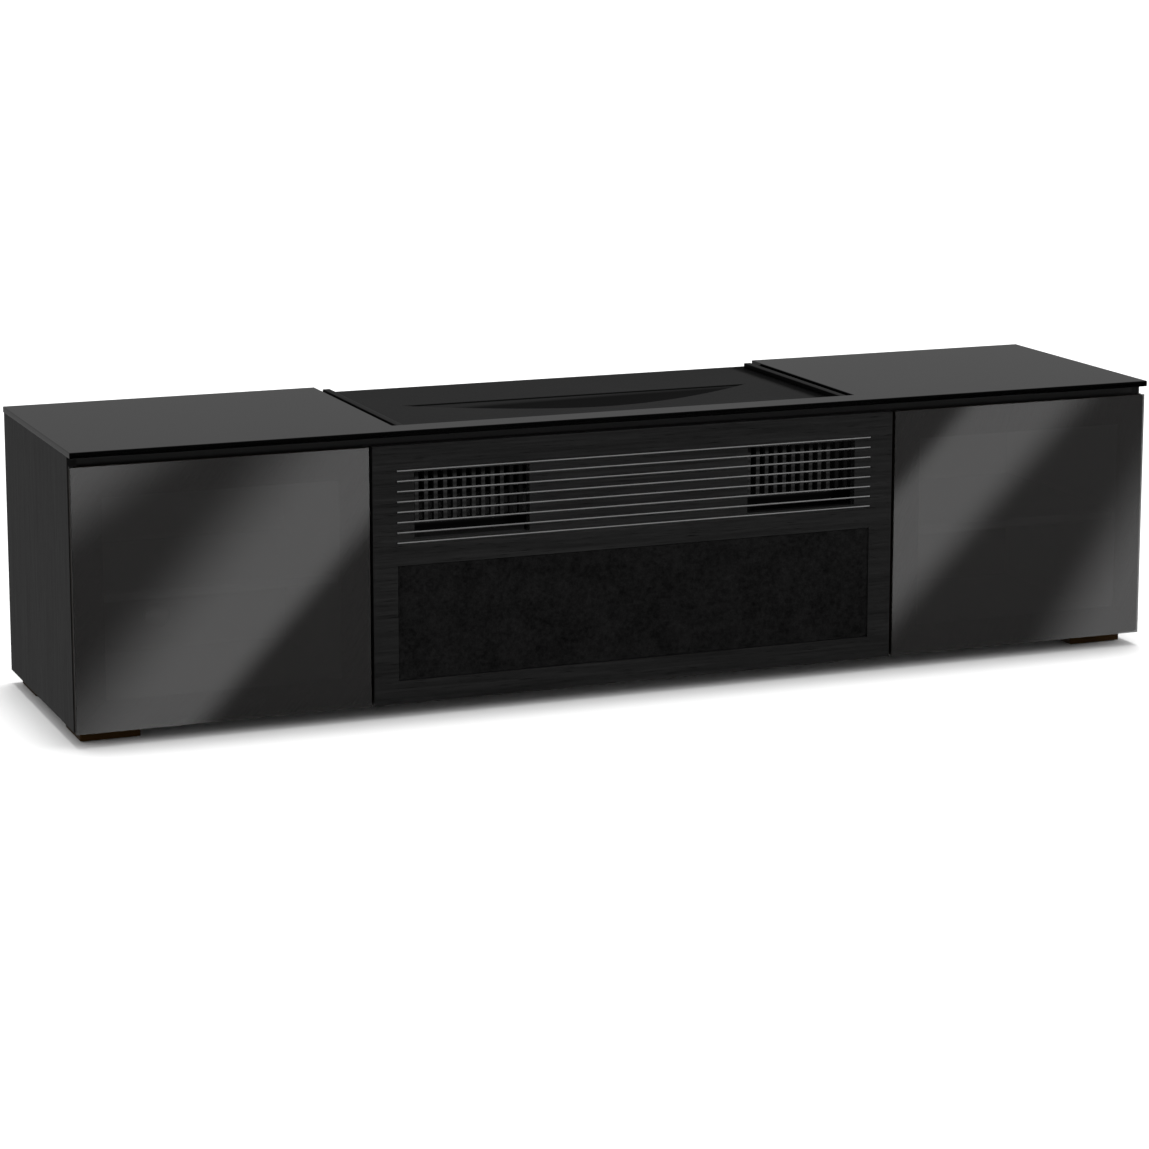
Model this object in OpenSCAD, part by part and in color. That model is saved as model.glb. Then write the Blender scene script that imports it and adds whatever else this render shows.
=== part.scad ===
// Low media cabinet with a U-shaped glass top, two glass side doors, a drop-down centre flap with
// vent windows and speaker cloth, and a sunken deck with a bow-shaped lens well at the back.
// Millimetres. Origin: on the floor, at the centre of the footprint. The front faces -Y, +Z is up.

/* [Carcass] */
// Width over the two side panels
carcass_w = 2337; // [2200:1:2450]
// Depth of the glass top, front to back
top_d = 575; // [540:1:620]
// Height of the doors and the flap
door_h = 521; // [500:1:560]
// Thickness of the side panels, dividers and bottom board
board_t = 19; // [18:1:22]
// Thickness of the top boards, deck and shelves
shelf_t = 18; // [16:1:20]
// Thickness of the back panels
back_t = 6; // [4:1:9]

/* [Glass top] */
// Thickness of the top glass
glass_t = 12; // [10:1:15]
// Overhang of the glass at each side and at the back
glass_side = 1.5; // [0.5:0.5:4]
// How far the glass stands out in front of the doors
glass_front = 6.5; // [3:0.5:12]
// Width of the cut-out over the deck
cutout_w = 1013; // [980:1:1040]
// Width of the glass strip in front of the cut-out
strip_d = 63.5; // [55:0.5:80]

/* [Deck] */
// Width of each deck rail
rail_w = 16; // [12:1:24]
// Height of each deck rail above the deck
rail_h = 10; // [6:1:11]
// Groove between a rail and the glass
rail_groove = 12; // [8:1:16]
// Width of the bow-shaped lens well
bow_w = 781; // [600:1:860]
// Depth of the bow from its back edge to its front
bow_depth = 162; // [120:1:180]
// Distance from the deck's centre line to the bow's back edge
bow_back = 62; // [30:1:90]
// Depth of the lens well below the deck
well_depth = 48; // [30:1:60]

/* [Doors and flap] */
// Width of each side door
door_w = 595; // [560:1:620]
// Gap between a door and the flap
front_gap = 6; // [3:1:8]
// Thickness of a door and of the flap panel
door_t = 19; // [18:1:22]
// Gap between the fronts and the carcass
back_gap = 4; // [4:0.5:6]
// Thickness of the door glass
door_glass_t = 5; // [4:0.5:6]
// Width of the frame behind the door glass
stile_w = 60; // [45:1:75]
// Distance from a door's outer edge to its pivot
pivot_in = 6; // [6:0.5:8]
// Distance from a door's front face to its pivot
pivot_back = 12; // [12:0.5:12.5]

/* [Vents and speaker cloth] */
// Number of rods across the flap
rod_count = 8; // [6:1:8]
// Diameter of a rod
rod_d = 4; // [3:0.5:5]
// Pitch of the rods
rod_pitch = 20.64; // [19:0.01:21]
// Length of a rod
rod_len = 1034; // [1000:1:1060]
// Distance from the flap's top edge to the first rod
rod_top = 51.5; // [45:0.5:60]
// Width of a vent window
window_w = 243; // [200:1:260]
// Distance from the centre line to a window's middle
window_x = 360; // [300:1:370]
// Columns of holes in a vent grille
grille_cols = 13; // [9:1:13]
// Pitch of the grille's columns
grille_pitch = 20; // [19:0.1:20]
// Width of a grille hole
grille_hole_w = 12; // [8:1:14]
// Height of a grille hole
grille_hole_h = 16.5; // [12:0.5:17]
// Width of the speaker cloth opening
cloth_w = 1033; // [900:1:1050]
// Height of the speaker cloth opening
cloth_h = 233; // [200:1:240]
// Height of the opening above the flap's lower edge
cloth_z = 46.5; // [40:0.5:60]

/* [Inside] */
// Height of the side shelves' top face above the floor
side_shelf_z = 284; // [240:1:320]
// Height of the centre shelf's top face above the floor
centre_shelf_z = 339; // [330:1:345]
// Diameter of a cable grommet's opening
grommet_d = 54; // [40:1:60]

/* [Feet] */
// Height of the feet with their pads
foot_h = 28; // [26:1:40]
// Side length of a foot
foot_w = 120; // [90:1:140]
// Inset of the outer feet from the sides and the back
foot_inset = 18; // [10:1:40]
// Setback of the front feet behind the door fronts
foot_setback = 48; // [30:1:80]

/* [Hidden] */

$fn = 48;
LEFT = -1;
RIGHT = 1;

// Heights above the floor
door_top = foot_h + door_h;
deck_z = door_top + shelf_t;
top_z = deck_z + glass_t;
bottom_z = foot_h + board_t;

// Depths, from front to back
front_y = -top_d / 2 + glass_front;
door_back_y = front_y + door_t;
carcass_y = door_back_y + back_gap;
strip_y = -top_d / 2 + strip_d;
rear_y = top_d / 2 - glass_side;
inner_rear_y = rear_y - back_t;
front_rail_d = 30;
front_lip_t = 8;
front_lip_h = 8;
deck_y = carcass_y + front_rail_d;

// Widths, measured from the centre line
outer_x = carcass_w / 2;
bay_x = outer_x - board_t;
door_in_x = outer_x - door_w;
flap_x = door_in_x - front_gap;
divider_x = (door_in_x + flap_x) / 2;
divider_out_x = divider_x + board_t / 2;
divider_in_x = divider_x - board_t / 2;
cut_x = cutout_w / 2;
rail_out_x = cut_x - rail_groove;
deck_x = cut_x - rail_groove / 2;

// Bow-shaped lens well
bow_half = bow_w / 2;
bow_power = 1.8;
bow_steps = 24;
bow_front = bow_back - bow_depth;
well_wall = 3;
well_half = bow_half * pow((bow_depth - 2 * well_wall) / bow_depth, 1 / bow_power);

// Door pivots
pivot_x = outer_x - pivot_in;
pivot_y = front_y + pivot_back;
pin_r = 2.5;
pin_clear = 0.05;
pin_reach = 16;
tongue_t = 3;
tongue_r = 4;
leaf_t = 1.5;
leaf_h = 46;
leaf_margin = 1;
washer_t = 1;
washer_r = 6;
frame_inset = 1;
frame_low = 1.5;

// Flap hinges
hinge_y = carcass_y - 2;
hinge_z = foot_h + 1.5;
hinge_w = 80;
hinge_spread = 400;
knuckle_r = 3.5;
knuckle_gap = 0.4;
knuckle_w = (hinge_w - 2 * knuckle_gap) / 3;
hinge_pin_r = 1.5;
notch_r = 4.2;

// Rods, windows and grilles
rod_z = door_top - rod_top;
rod_y = front_y + 0.5;
window_top = rod_z - 3.5;
window_bottom = rod_z - (rod_count - 1) * rod_pitch + 6;
grille_d = 12;
grille_rim = 9;
grille_rows = 5;
grille_row_drop = 0.7;
grille_slot_h = 13;
grille_slot_drop = 4;

// Speaker cloth and its frame
cloth_z0 = foot_h + cloth_z;
cloth_z1 = cloth_z0 + cloth_h;
cloth_t = 0.8;
cloth_recess = 1.7;
cloth_clear = 0.5;
ledge_w = 10;
ledge_t = 5;
cloth_frame_w = 22;
cloth_rib_w = 20;

// Shelf pins
shelf_pin_r = 2.5;
shelf_pin_in = 10;
shelf_pin_out = 10;
shelf_pin_step = 64;
shelf_pin_ys = [-150, 210];
side_shelf_y = -206;
shelf_back_y = inner_rear_y - 10;
shelf_play = 1;

// Magnets, strikes and buffers
catch_w = 14;
catch_d = 36;
catch_h = 44;
catch_proud = 1.4;
catch_drop = 90;
strike_t = 2;
strike_h = 34;
buffer_r = 2.5;
buffer_t = 3.6;
buffer_drop = 30;

// Back panels
vent_w = 300;
vent_h = 42;
vent_drop = 44;
centre_vent_w = 800;
centre_vent_h = 110;
centre_vent_z = 410;
cable_vent_w = 320;
cable_vent_h = 60;
cable_vent_z = 150;
grommet_z = 120;
grommet_wall = 3;
grommet_flange = 5;
grommet_lip = 2;
screw_head_r = 4;
screw_head_h = 2.2;
screw_r = 1.75;
screw_len = 24;

// Feet
pad_t = 2;
pad_margin = 6;
middle_foot_y = -60;

// A box between two corners
module block(x, y, z) {
    translate([x[0], y[0], z[0]]) cube([x[1] - x[0], y[1] - y[0], z[1] - z[0]]);
}

// Everything in pairs is drawn for the left, at negative X, and mirrored for the right
module on_side(side) {
    if (side == LEFT) children();
    else mirror([1, 0, 0]) children();
}

// Rod or bore along X, from x[0] to x[1]
module x_cylinder(x, y, z, r) {
    translate([x[0], y, z]) rotate([0, 90, 0]) cylinder(h = x[1] - x[0], r = r);
}

// Rod or bore along Y, from y[0] to y[1]
module y_cylinder(x, y, z, r) {
    translate([x, y[0], z]) rotate([-90, 0, 0]) cylinder(h = y[1] - y[0], r = r);
}

// Rod or bore along Z, from z[0] to z[1]
module z_cylinder(x, y, z, r) {
    translate([x, y, z[0]]) cylinder(h = z[1] - z[0], r = r);
}

// ---------------------------------------------------------------- top and deck

module glass_top() {
    color([0.05, 0.05, 0.055]) difference() {
        block([-outer_x - glass_side, outer_x + glass_side], [-top_d / 2, top_d / 2], [deck_z, top_z]);
        block([-cut_x, cut_x], [strip_y, top_d / 2 + 1], [deck_z - 1, top_z + 1]);
    }
}

// The rail's lips reach down between the dividers, so that no gap shows over the doors and flap
module top_front_rail() {
    lip_y = [carcass_y, carcass_y + front_lip_t];
    lip_z = [door_top - front_lip_h, door_top];
    color([0.03, 0.03, 0.03]) {
        block([-bay_x, bay_x], [carcass_y, deck_y], [door_top, deck_z]);
        block([-divider_in_x, divider_in_x], lip_y, lip_z);
        for (side = [LEFT, RIGHT]) on_side(side) block([-bay_x, -divider_out_x], lip_y, lip_z);
    }
}

module top_board(side) {
    color([0.06, 0.06, 0.06]) on_side(side)
        block([-bay_x, -deck_x], [deck_y, rear_y], [door_top, deck_z]);
}

// Front edge of the bow at x: a soft curve that meets the straight back edge at both tips
function bow_y(x) = bow_front + bow_depth * pow(abs(x) / bow_half, bow_power);

// Outline of the bow out to half-width hw, with its front edge moved back by df
function bow_outline(hw, df) = [for (i = [0 : bow_steps])
    let (x = -hw + 2 * hw * i / bow_steps) [x, bow_y(x) + df]];

module bow(hw, df, z) {
    translate([0, 0, z[0]]) linear_extrude(z[1] - z[0]) polygon(bow_outline(hw, df));
}

module deck_panel() {
    color([0.05, 0.05, 0.05]) difference() {
        block([-deck_x, deck_x], [deck_y, rear_y], [door_top, deck_z]);
        bow(bow_half, 0, [door_top - 1, deck_z + 1]);
    }
}

module deck_rail(side) {
    color([0.07, 0.07, 0.07]) on_side(side)
        block([-rail_out_x, -rail_out_x + rail_w], [strip_y + 2, rear_y - 18],
            [deck_z, deck_z + rail_h]);
}

module lens_well() {
    color([0.03, 0.03, 0.03]) difference() {
        bow(bow_half, 0, [deck_z - well_depth, deck_z - 1]);
        bow(well_half, well_wall, [deck_z - well_depth + well_wall, deck_z]);
    }
}

module deck_bearer(side) {
    color([0.1, 0.08, 0.07]) on_side(side)
        block([-deck_x - 15, -deck_x + 15], [deck_y, inner_rear_y], [door_top - 25, door_top]);
}

// ---------------------------------------------------------------- carcass

// Rows of holes for the shelf pins in the face of a board; dir is the way into the board
module pin_holes(face_x, dir) {
    for (y = shelf_pin_ys, row = [-1 : 1])
        translate([face_x, y, side_shelf_z - shelf_t - shelf_pin_r + row * shelf_pin_step])
            rotate([0, dir * 90, 0]) translate([0, 0, -0.5])
                cylinder(h = shelf_pin_in + 0.5, r = shelf_pin_r);
}

module side_panel(side) {
    color([0.09, 0.09, 0.09]) on_side(side) difference() {
        block([-outer_x, -bay_x], [carcass_y, rear_y], [foot_h, deck_z]);
        pin_holes(-bay_x, -1);
    }
}

module divider(side) {
    color([0.09, 0.09, 0.09]) on_side(side) difference() {
        block([-divider_out_x, -divider_in_x], [carcass_y, inner_rear_y], [bottom_z, door_top]);
        pin_holes(-divider_out_x, 1);
    }
}

// Room for the flap hinges' barrels, cut into the bottom board and the flap
module hinge_notches() {
    for (x = [-hinge_spread, 0, hinge_spread])
        x_cylinder([x - hinge_w / 2 - 1, x + hinge_w / 2 + 1], hinge_y, hinge_z, notch_r);
}

module bottom_board() {
    color([0.09, 0.09, 0.09]) difference() {
        block([-bay_x, bay_x], [carcass_y, inner_rear_y], [foot_h, bottom_z]);
        hinge_notches();
    }
}

module back_panel_side(side) {
    color([0.08, 0.08, 0.08]) on_side(side) difference() {
        block([-bay_x, -divider_x], [inner_rear_y, rear_y], [foot_h, door_top]);
        block([-(bay_x + divider_x) / 2 - vent_w / 2, -(bay_x + divider_x) / 2 + vent_w / 2],
            [inner_rear_y - 1, rear_y + 1], [door_top - vent_drop - vent_h, door_top - vent_drop]);
        y_cylinder(-(bay_x + divider_x) / 2, [inner_rear_y - 1, rear_y + 1], grommet_z,
            grommet_d / 2 + grommet_wall);
    }
}

module back_panel_centre() {
    color([0.08, 0.08, 0.08]) difference() {
        block([-divider_x, divider_x], [inner_rear_y, rear_y], [foot_h, door_top]);
        block([-centre_vent_w / 2, centre_vent_w / 2], [inner_rear_y - 1, rear_y + 1],
            [centre_vent_z, centre_vent_z + centre_vent_h]);
        block([-cable_vent_w / 2, cable_vent_w / 2], [inner_rear_y - 1, rear_y + 1],
            [cable_vent_z, cable_vent_z + cable_vent_h]);
    }
}

module grommet(x) {
    difference() {
        union() {
            y_cylinder(x, [inner_rear_y - 4, rear_y], grommet_z, grommet_d / 2 + grommet_wall);
            y_cylinder(x, [inner_rear_y - 4, inner_rear_y - 4 + grommet_lip], grommet_z,
                grommet_d / 2 + grommet_flange);
            y_cylinder(x, [rear_y, rear_y + 1], grommet_z, grommet_d / 2 + grommet_flange);
        }
        y_cylinder(x, [inner_rear_y - 5, rear_y + 2], grommet_z, grommet_d / 2);
    }
}

module cable_grommets() {
    color([0.03, 0.03, 0.03]) for (side = [LEFT, RIGHT]) grommet(side * (bay_x + divider_x) / 2);
}

// Screws that hold the back panels to the dividers and to the bottom board
module back_screws() {
    margin = 60;
    mid = (bottom_z + door_top) / 2;
    color([0.15, 0.15, 0.15]) {
        for (side = [LEFT, RIGHT], edge = [-board_t / 4, board_t / 4],
             z = [foot_h + margin, mid, door_top - margin])
            back_screw(side * divider_x + edge, z);
        for (side = [LEFT, RIGHT], x = [divider_x + margin * 2, bay_x - margin])
            back_screw(side * x, foot_h + board_t / 2);
        for (x = [-divider_x / 2, divider_x / 2]) back_screw(x, foot_h + board_t / 2);
    }
}

module back_screw(x, z) {
    y_cylinder(x, [rear_y, rear_y + 1.2], z, screw_head_r);
    y_cylinder(x, [rear_y - screw_len, rear_y], z, screw_r);
}

// ---------------------------------------------------------------- shelves

module side_shelf(side) {
    color([0.1, 0.1, 0.1]) on_side(side)
        block([-bay_x + shelf_play, -divider_out_x - shelf_play], [side_shelf_y, shelf_back_y],
            [side_shelf_z - shelf_t, side_shelf_z]);
}

module shelf_centre() {
    color([0.1, 0.1, 0.1])
        block([-divider_in_x, divider_in_x], [carcass_y + 18, inner_rear_y - 40],
            [centre_shelf_z - board_t, centre_shelf_z]);
}

module shelf_cleats() {
    color([0.1, 0.08, 0.07]) for (side = [LEFT, RIGHT]) on_side(side)
        block([-divider_in_x, -divider_in_x + 20], [carcass_y + 28, inner_rear_y - 50],
            [centre_shelf_z - board_t - 20, centre_shelf_z - board_t]);
}

module shelf_pins() {
    pin_z = side_shelf_z - shelf_t - shelf_pin_r;
    color([0.7, 0.7, 0.72]) for (side = [LEFT, RIGHT], y = shelf_pin_ys) on_side(side) {
        x_cylinder([-bay_x - shelf_pin_in, -bay_x + shelf_pin_out], y, pin_z, shelf_pin_r);
        x_cylinder([-divider_out_x - shelf_pin_out, -divider_out_x + shelf_pin_in], y, pin_z,
            shelf_pin_r);
    }
}

// ---------------------------------------------------------------- feet

foot_ys = [front_y + foot_setback, rear_y - foot_inset - foot_w];

module foot(x, y) {
    color([0.07, 0.035, 0.02]) block([x, x + foot_w], [y, y + foot_w], [pad_t, foot_h]);
}

module pad(x, y) {
    block([x + pad_margin, x + foot_w - pad_margin], [y + pad_margin, y + foot_w - pad_margin],
        [0, pad_t]);
}

function corner_foot_x(side) =
    side == LEFT ? -outer_x + foot_inset : outer_x - foot_inset - foot_w;
function middle_foot_x(side) = side * divider_x - foot_w / 2;

module foot_pads() {
    color([0.03, 0.03, 0.03]) for (side = [LEFT, RIGHT]) {
        for (y = foot_ys) pad(corner_foot_x(side), y);
        pad(middle_foot_x(side), middle_foot_y);
    }
}

// ---------------------------------------------------------------- door hardware

// Top and bottom brackets: a leaf on the side panel's front edge and a tongue that holds the pin
module pivot_brackets(side) {
    color([0.4, 0.4, 0.42]) on_side(side) for (top = [false, true]) {
        tongue_z = top ? [door_top - tongue_t, door_top] : [foot_h, foot_h + tongue_t];
        leaf_z = top ? [door_top - leaf_h, door_top] : [foot_h, foot_h + leaf_h];
        difference() {
            union() {
                z_cylinder(-pivot_x, pivot_y, tongue_z, tongue_r);
                block([-pivot_x - tongue_r, -pivot_x + tongue_r], [pivot_y, carcass_y], tongue_z);
                block([-outer_x + leaf_margin, -bay_x - leaf_margin],
                    [carcass_y - leaf_t, carcass_y], leaf_z);
            }
            z_cylinder(-pivot_x, pivot_y, [tongue_z[0] - 1, tongue_z[1] + 1], pin_r);
        }
    }
}

module pivot_pins(side) {
    color([0.7, 0.7, 0.72]) on_side(side) {
        z_cylinder(-pivot_x, pivot_y, [door_top - tongue_t - washer_t - pin_reach, door_top], pin_r);
        z_cylinder(-pivot_x, pivot_y, [foot_h, foot_h + tongue_t + washer_t + pin_reach], pin_r);
    }
}

module pivot_washers(side) {
    color([0.8, 0.8, 0.78]) on_side(side)
        for (z = [door_top - tongue_t - washer_t, foot_h + tongue_t]) difference() {
            z_cylinder(-pivot_x, pivot_y, [z, z + washer_t], washer_r);
            z_cylinder(-pivot_x, pivot_y, [z - 1, z + washer_t + 1], pin_r);
        }
}

// A magnetic catch against the board face at x; dir is the way out from the board
module magnet_catch(x, dir, z) {
    block([min(x, x + dir * catch_w), max(x, x + dir * catch_w)],
        [carcass_y - catch_proud, carcass_y + catch_d], [z - catch_h / 2, z + catch_h / 2]);
}

catch_z = door_top - catch_drop;

module magnet_catches() {
    color([0.05, 0.05, 0.05]) for (side = [LEFT, RIGHT]) on_side(side) {
        magnet_catch(-divider_out_x, -1, catch_z);
        magnet_catch(-divider_in_x, 1, catch_z);
    }
}

// ---------------------------------------------------------------- side doors

module door_glass(side) {
    color([0.08, 0.08, 0.085, 0.7]) on_side(side)
        block([-outer_x, -door_in_x], [front_y, front_y + door_glass_t], [foot_h, door_top]);
}

module door_frame(side) {
    x0 = -outer_x + frame_inset;
    x1 = -door_in_x - frame_inset;
    z0 = foot_h + frame_low;
    z1 = door_top - frame_low;
    notch = tongue_t + washer_t;
    bore = notch + pin_reach + 1;
    color([0.04, 0.04, 0.04]) on_side(side) difference() {
        block([x0, x1], [front_y + door_glass_t, door_back_y], [z0, z1]);
        block([x0 + stile_w, x1 - stile_w], [front_y, door_back_y + 1], [z0 + stile_w, z1 - stile_w]);
        for (z = [[foot_h, foot_h + notch], [door_top - notch, door_top]])
            block([x0 - 1, -pivot_x + washer_r + 1], [front_y, door_back_y + 1], z);
        for (z = [[foot_h, foot_h + bore], [door_top - bore, door_top]])
            z_cylinder(-pivot_x, pivot_y, z, pin_r + pin_clear);
    }
}

module door_strike(side) {
    color([0.6, 0.6, 0.62]) on_side(side)
        block([-divider_out_x - catch_w + 1, -divider_out_x - 1], [door_back_y, door_back_y + strike_t],
            [catch_z - strike_h / 2, catch_z + strike_h / 2]);
}

module door_buffers(side) {
    x = -(divider_out_x + door_in_x + frame_inset) / 2;
    color([0.2, 0.2, 0.2]) on_side(side) for (z = [foot_h + buffer_drop, door_top - buffer_drop])
        y_cylinder(x, [door_back_y, door_back_y + buffer_t], z, buffer_r);
}

// ---------------------------------------------------------------- centre flap

module flap_panel() {
    color([0.08, 0.08, 0.08]) difference() {
        block([-flap_x, flap_x], [front_y, door_back_y], [foot_h, door_top]);
        for (side = [LEFT, RIGHT])
            block([side * window_x - window_w / 2, side * window_x + window_w / 2],
                [front_y - 1, door_back_y + 1], [window_bottom, window_top]);
        block([-cloth_w / 2, cloth_w / 2], [front_y - 1, door_back_y - ledge_t],
            [cloth_z0, cloth_z1]);
        block([-cloth_w / 2 + ledge_w, cloth_w / 2 - ledge_w], [front_y - 1, door_back_y + 1],
            [cloth_z0 + ledge_w, cloth_z1 - ledge_w]);
        for (i = [0 : rod_count - 1]) rod(i);
        hinge_notches();
    }
}

// Rod number i, bedded in a groove in the flap's face
module rod(i) {
    x_cylinder([-rod_len / 2, rod_len / 2], rod_y, rod_z - i * rod_pitch, rod_d / 2);
}

module vent_rods() {
    color([0.5, 0.5, 0.52]) for (i = [0 : rod_count - 1]) rod(i);
}

// Egg-crate grille on the flap's back: rows of holes between the rods, a plain chin and a slot
module vent_grille(side) {
    half = window_w / 2 + grille_rim;
    color([0.1, 0.1, 0.1]) difference() {
        block([side * window_x - half, side * window_x + half], [door_back_y, door_back_y + grille_d],
            [window_bottom - grille_rim, window_top + grille_rim]);
        for (col = [0 : grille_cols - 1], row = [0 : grille_rows - 1])
            translate([side * window_x + (col - (grille_cols - 1) / 2) * grille_pitch,
                    door_back_y - 1, rod_z - (row + grille_row_drop) * rod_pitch])
                translate([-grille_hole_w / 2, 0, -grille_hole_h / 2])
                    cube([grille_hole_w, grille_d + 2, grille_hole_h]);
        block([side * window_x - window_w / 2, side * window_x + window_w / 2],
            [door_back_y - 1, door_back_y + grille_d + 1],
            [window_bottom - grille_slot_drop, window_bottom - grille_slot_drop + grille_slot_h]);
    }
}

cloth_frame_x = cloth_w / 2 - cloth_clear;
cloth_frame_z = [cloth_z0 + cloth_clear, cloth_z1 - cloth_clear];
cloth_back_y = front_y + cloth_recess + cloth_t;

module speaker_frame() {
    color([0.06, 0.06, 0.06]) {
        difference() {
            block([-cloth_frame_x, cloth_frame_x], [cloth_back_y, door_back_y - ledge_t], cloth_frame_z);
            block([-cloth_frame_x + cloth_frame_w, cloth_frame_x - cloth_frame_w],
                [front_y, door_back_y],
                [cloth_frame_z[0] + cloth_frame_w, cloth_frame_z[1] - cloth_frame_w]);
        }
        for (side = [LEFT, RIGHT]) {
            x = side * cloth_frame_x / 3;
            block([x - cloth_rib_w / 2, x + cloth_rib_w / 2], [cloth_back_y, door_back_y - ledge_t],
                [cloth_frame_z[0] + cloth_frame_w - 1, cloth_frame_z[1] - cloth_frame_w + 1]);
        }
    }
}

module speaker_cloth() {
    color([0.04, 0.04, 0.04])
        block([-cloth_frame_x, cloth_frame_x], [cloth_back_y - cloth_t, cloth_back_y], cloth_frame_z);
}

// Knuckle number k of a hinge, 0 to 2, left to right
module knuckle(x, k) {
    x0 = x - hinge_w / 2 + k * (knuckle_w + knuckle_gap);
    x_cylinder([x0, x0 + knuckle_w], hinge_y, hinge_z, knuckle_r);
}

module knuckle_neck(x, k, y) {
    x0 = x - hinge_w / 2 + k * (knuckle_w + knuckle_gap);
    block([x0, x0 + knuckle_w], y, [hinge_z, hinge_z + notch_r + 1]);
}

module flap_hinge_fixed() {
    leaf_y = [carcass_y - leaf_t, carcass_y];
    color([0.4, 0.4, 0.42]) for (x = [-hinge_spread, 0, hinge_spread]) difference() {
        union() {
            for (k = [0, 2]) {
                knuckle(x, k);
                knuckle_neck(x, k, leaf_y);
            }
            block([x - hinge_w / 2, x + hinge_w / 2], leaf_y, [hinge_z + notch_r, bottom_z - 1]);
        }
        x_cylinder([x - hinge_w, x + hinge_w], hinge_y, hinge_z, hinge_pin_r);
    }
}

module flap_hinge_moving() {
    leaf_y = [door_back_y, door_back_y + leaf_t];
    color([0.4, 0.4, 0.42]) for (x = [-hinge_spread, 0, hinge_spread]) difference() {
        union() {
            knuckle(x, 1);
            knuckle_neck(x, 1, leaf_y);
            block([x - hinge_w / 2, x + hinge_w / 2], leaf_y, [hinge_z + notch_r, hinge_z + 34]);
        }
        x_cylinder([x - hinge_w, x + hinge_w], hinge_y, hinge_z, hinge_pin_r + pin_clear);
    }
}

module flap_hinge_pins() {
    color([0.7, 0.7, 0.72]) for (x = [-hinge_spread, 0, hinge_spread])
        x_cylinder([x - hinge_w / 2, x + hinge_w / 2], hinge_y, hinge_z, hinge_pin_r);
}

module flap_strikes() {
    color([0.6, 0.6, 0.62]) for (side = [LEFT, RIGHT]) on_side(side)
        block([-divider_in_x + 1, -divider_in_x + catch_w - 1], [door_back_y, door_back_y + strike_t],
            [catch_z - strike_h / 2, catch_z + strike_h / 2]);
}

module flap_buffers() {
    x = (divider_in_x + flap_x) / 2;
    color([0.2, 0.2, 0.2]) for (side = [LEFT, RIGHT])
        y_cylinder(side * x, [door_back_y, door_back_y + buffer_t], door_top - buffer_drop, buffer_r);
}

// ---------------------------------------------------------------- nodes

glass_top();
top_front_rail();
top_board(LEFT);  // top_board_left
top_board(RIGHT);  // top_board_right
deck_panel();
deck_rail(LEFT);  // deck_rail_left
deck_rail(RIGHT);  // deck_rail_right
lens_well();
side_panel(LEFT);  // side_panel_left
side_panel(RIGHT);  // side_panel_right
divider(LEFT);  // divider_left
divider(RIGHT);  // divider_right
bottom_board();
deck_bearer(LEFT);  // deck_bearer_left
deck_bearer(RIGHT);  // deck_bearer_right
back_panel_side(LEFT);  // back_panel_left
back_panel_side(RIGHT);  // back_panel_right
back_panel_centre();
side_shelf(LEFT);  // shelf_left
side_shelf(RIGHT);  // shelf_right
shelf_centre();
shelf_cleats();
shelf_pins();
cable_grommets();
back_screws();
foot(corner_foot_x(LEFT), foot_ys[0]);  // foot_front_left
foot(corner_foot_x(RIGHT), foot_ys[0]);  // foot_front_right
foot(corner_foot_x(LEFT), foot_ys[1]);  // foot_rear_left
foot(corner_foot_x(RIGHT), foot_ys[1]);  // foot_rear_right
foot(middle_foot_x(LEFT), middle_foot_y);  // foot_middle_left
foot(middle_foot_x(RIGHT), middle_foot_y);  // foot_middle_right
foot_pads();
pivot_brackets(LEFT);  // pivot_brackets_left
pivot_brackets(RIGHT);  // pivot_brackets_right
pivot_pins(LEFT);  // pivot_pins_left
pivot_pins(RIGHT);  // pivot_pins_right
pivot_washers(LEFT);  // pivot_washers_left
pivot_washers(RIGHT);  // pivot_washers_right
magnet_catches();
door_glass(LEFT);  // door_glass_left
door_glass(RIGHT);  // door_glass_right
door_frame(LEFT);  // door_frame_left
door_frame(RIGHT);  // door_frame_right
door_strike(LEFT);  // door_strike_left
door_strike(RIGHT);  // door_strike_right
door_buffers(LEFT);  // door_buffers_left
door_buffers(RIGHT);  // door_buffers_right
flap_panel();
vent_rods();
vent_grille(LEFT);  // vent_grille_left
vent_grille(RIGHT);  // vent_grille_right
speaker_frame();
speaker_cloth();
flap_hinge_fixed();
flap_hinge_moving();
flap_hinge_pins();
flap_strikes();
flap_buffers();
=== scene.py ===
"""Looks of the media cabinet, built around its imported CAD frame.

Metres, in the row frame: the front faces -Y and +Z is up.
"""

import math

import bpy
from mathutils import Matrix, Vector, noise


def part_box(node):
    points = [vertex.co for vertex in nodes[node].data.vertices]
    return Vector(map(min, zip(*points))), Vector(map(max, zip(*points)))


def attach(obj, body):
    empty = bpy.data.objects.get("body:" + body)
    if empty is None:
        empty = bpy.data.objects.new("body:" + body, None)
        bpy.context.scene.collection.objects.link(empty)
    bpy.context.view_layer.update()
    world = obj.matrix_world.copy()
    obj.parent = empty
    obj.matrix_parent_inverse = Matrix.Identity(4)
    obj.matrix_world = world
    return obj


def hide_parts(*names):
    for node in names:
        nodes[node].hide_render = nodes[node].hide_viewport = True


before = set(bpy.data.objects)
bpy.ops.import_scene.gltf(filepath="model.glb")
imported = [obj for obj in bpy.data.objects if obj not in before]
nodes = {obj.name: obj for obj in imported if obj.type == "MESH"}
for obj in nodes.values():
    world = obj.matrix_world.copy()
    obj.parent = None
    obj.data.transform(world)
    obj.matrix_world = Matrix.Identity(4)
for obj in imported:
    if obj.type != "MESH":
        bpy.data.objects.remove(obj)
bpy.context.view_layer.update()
scene = bpy.context.scene
SIDES = ("left", "right")


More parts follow.
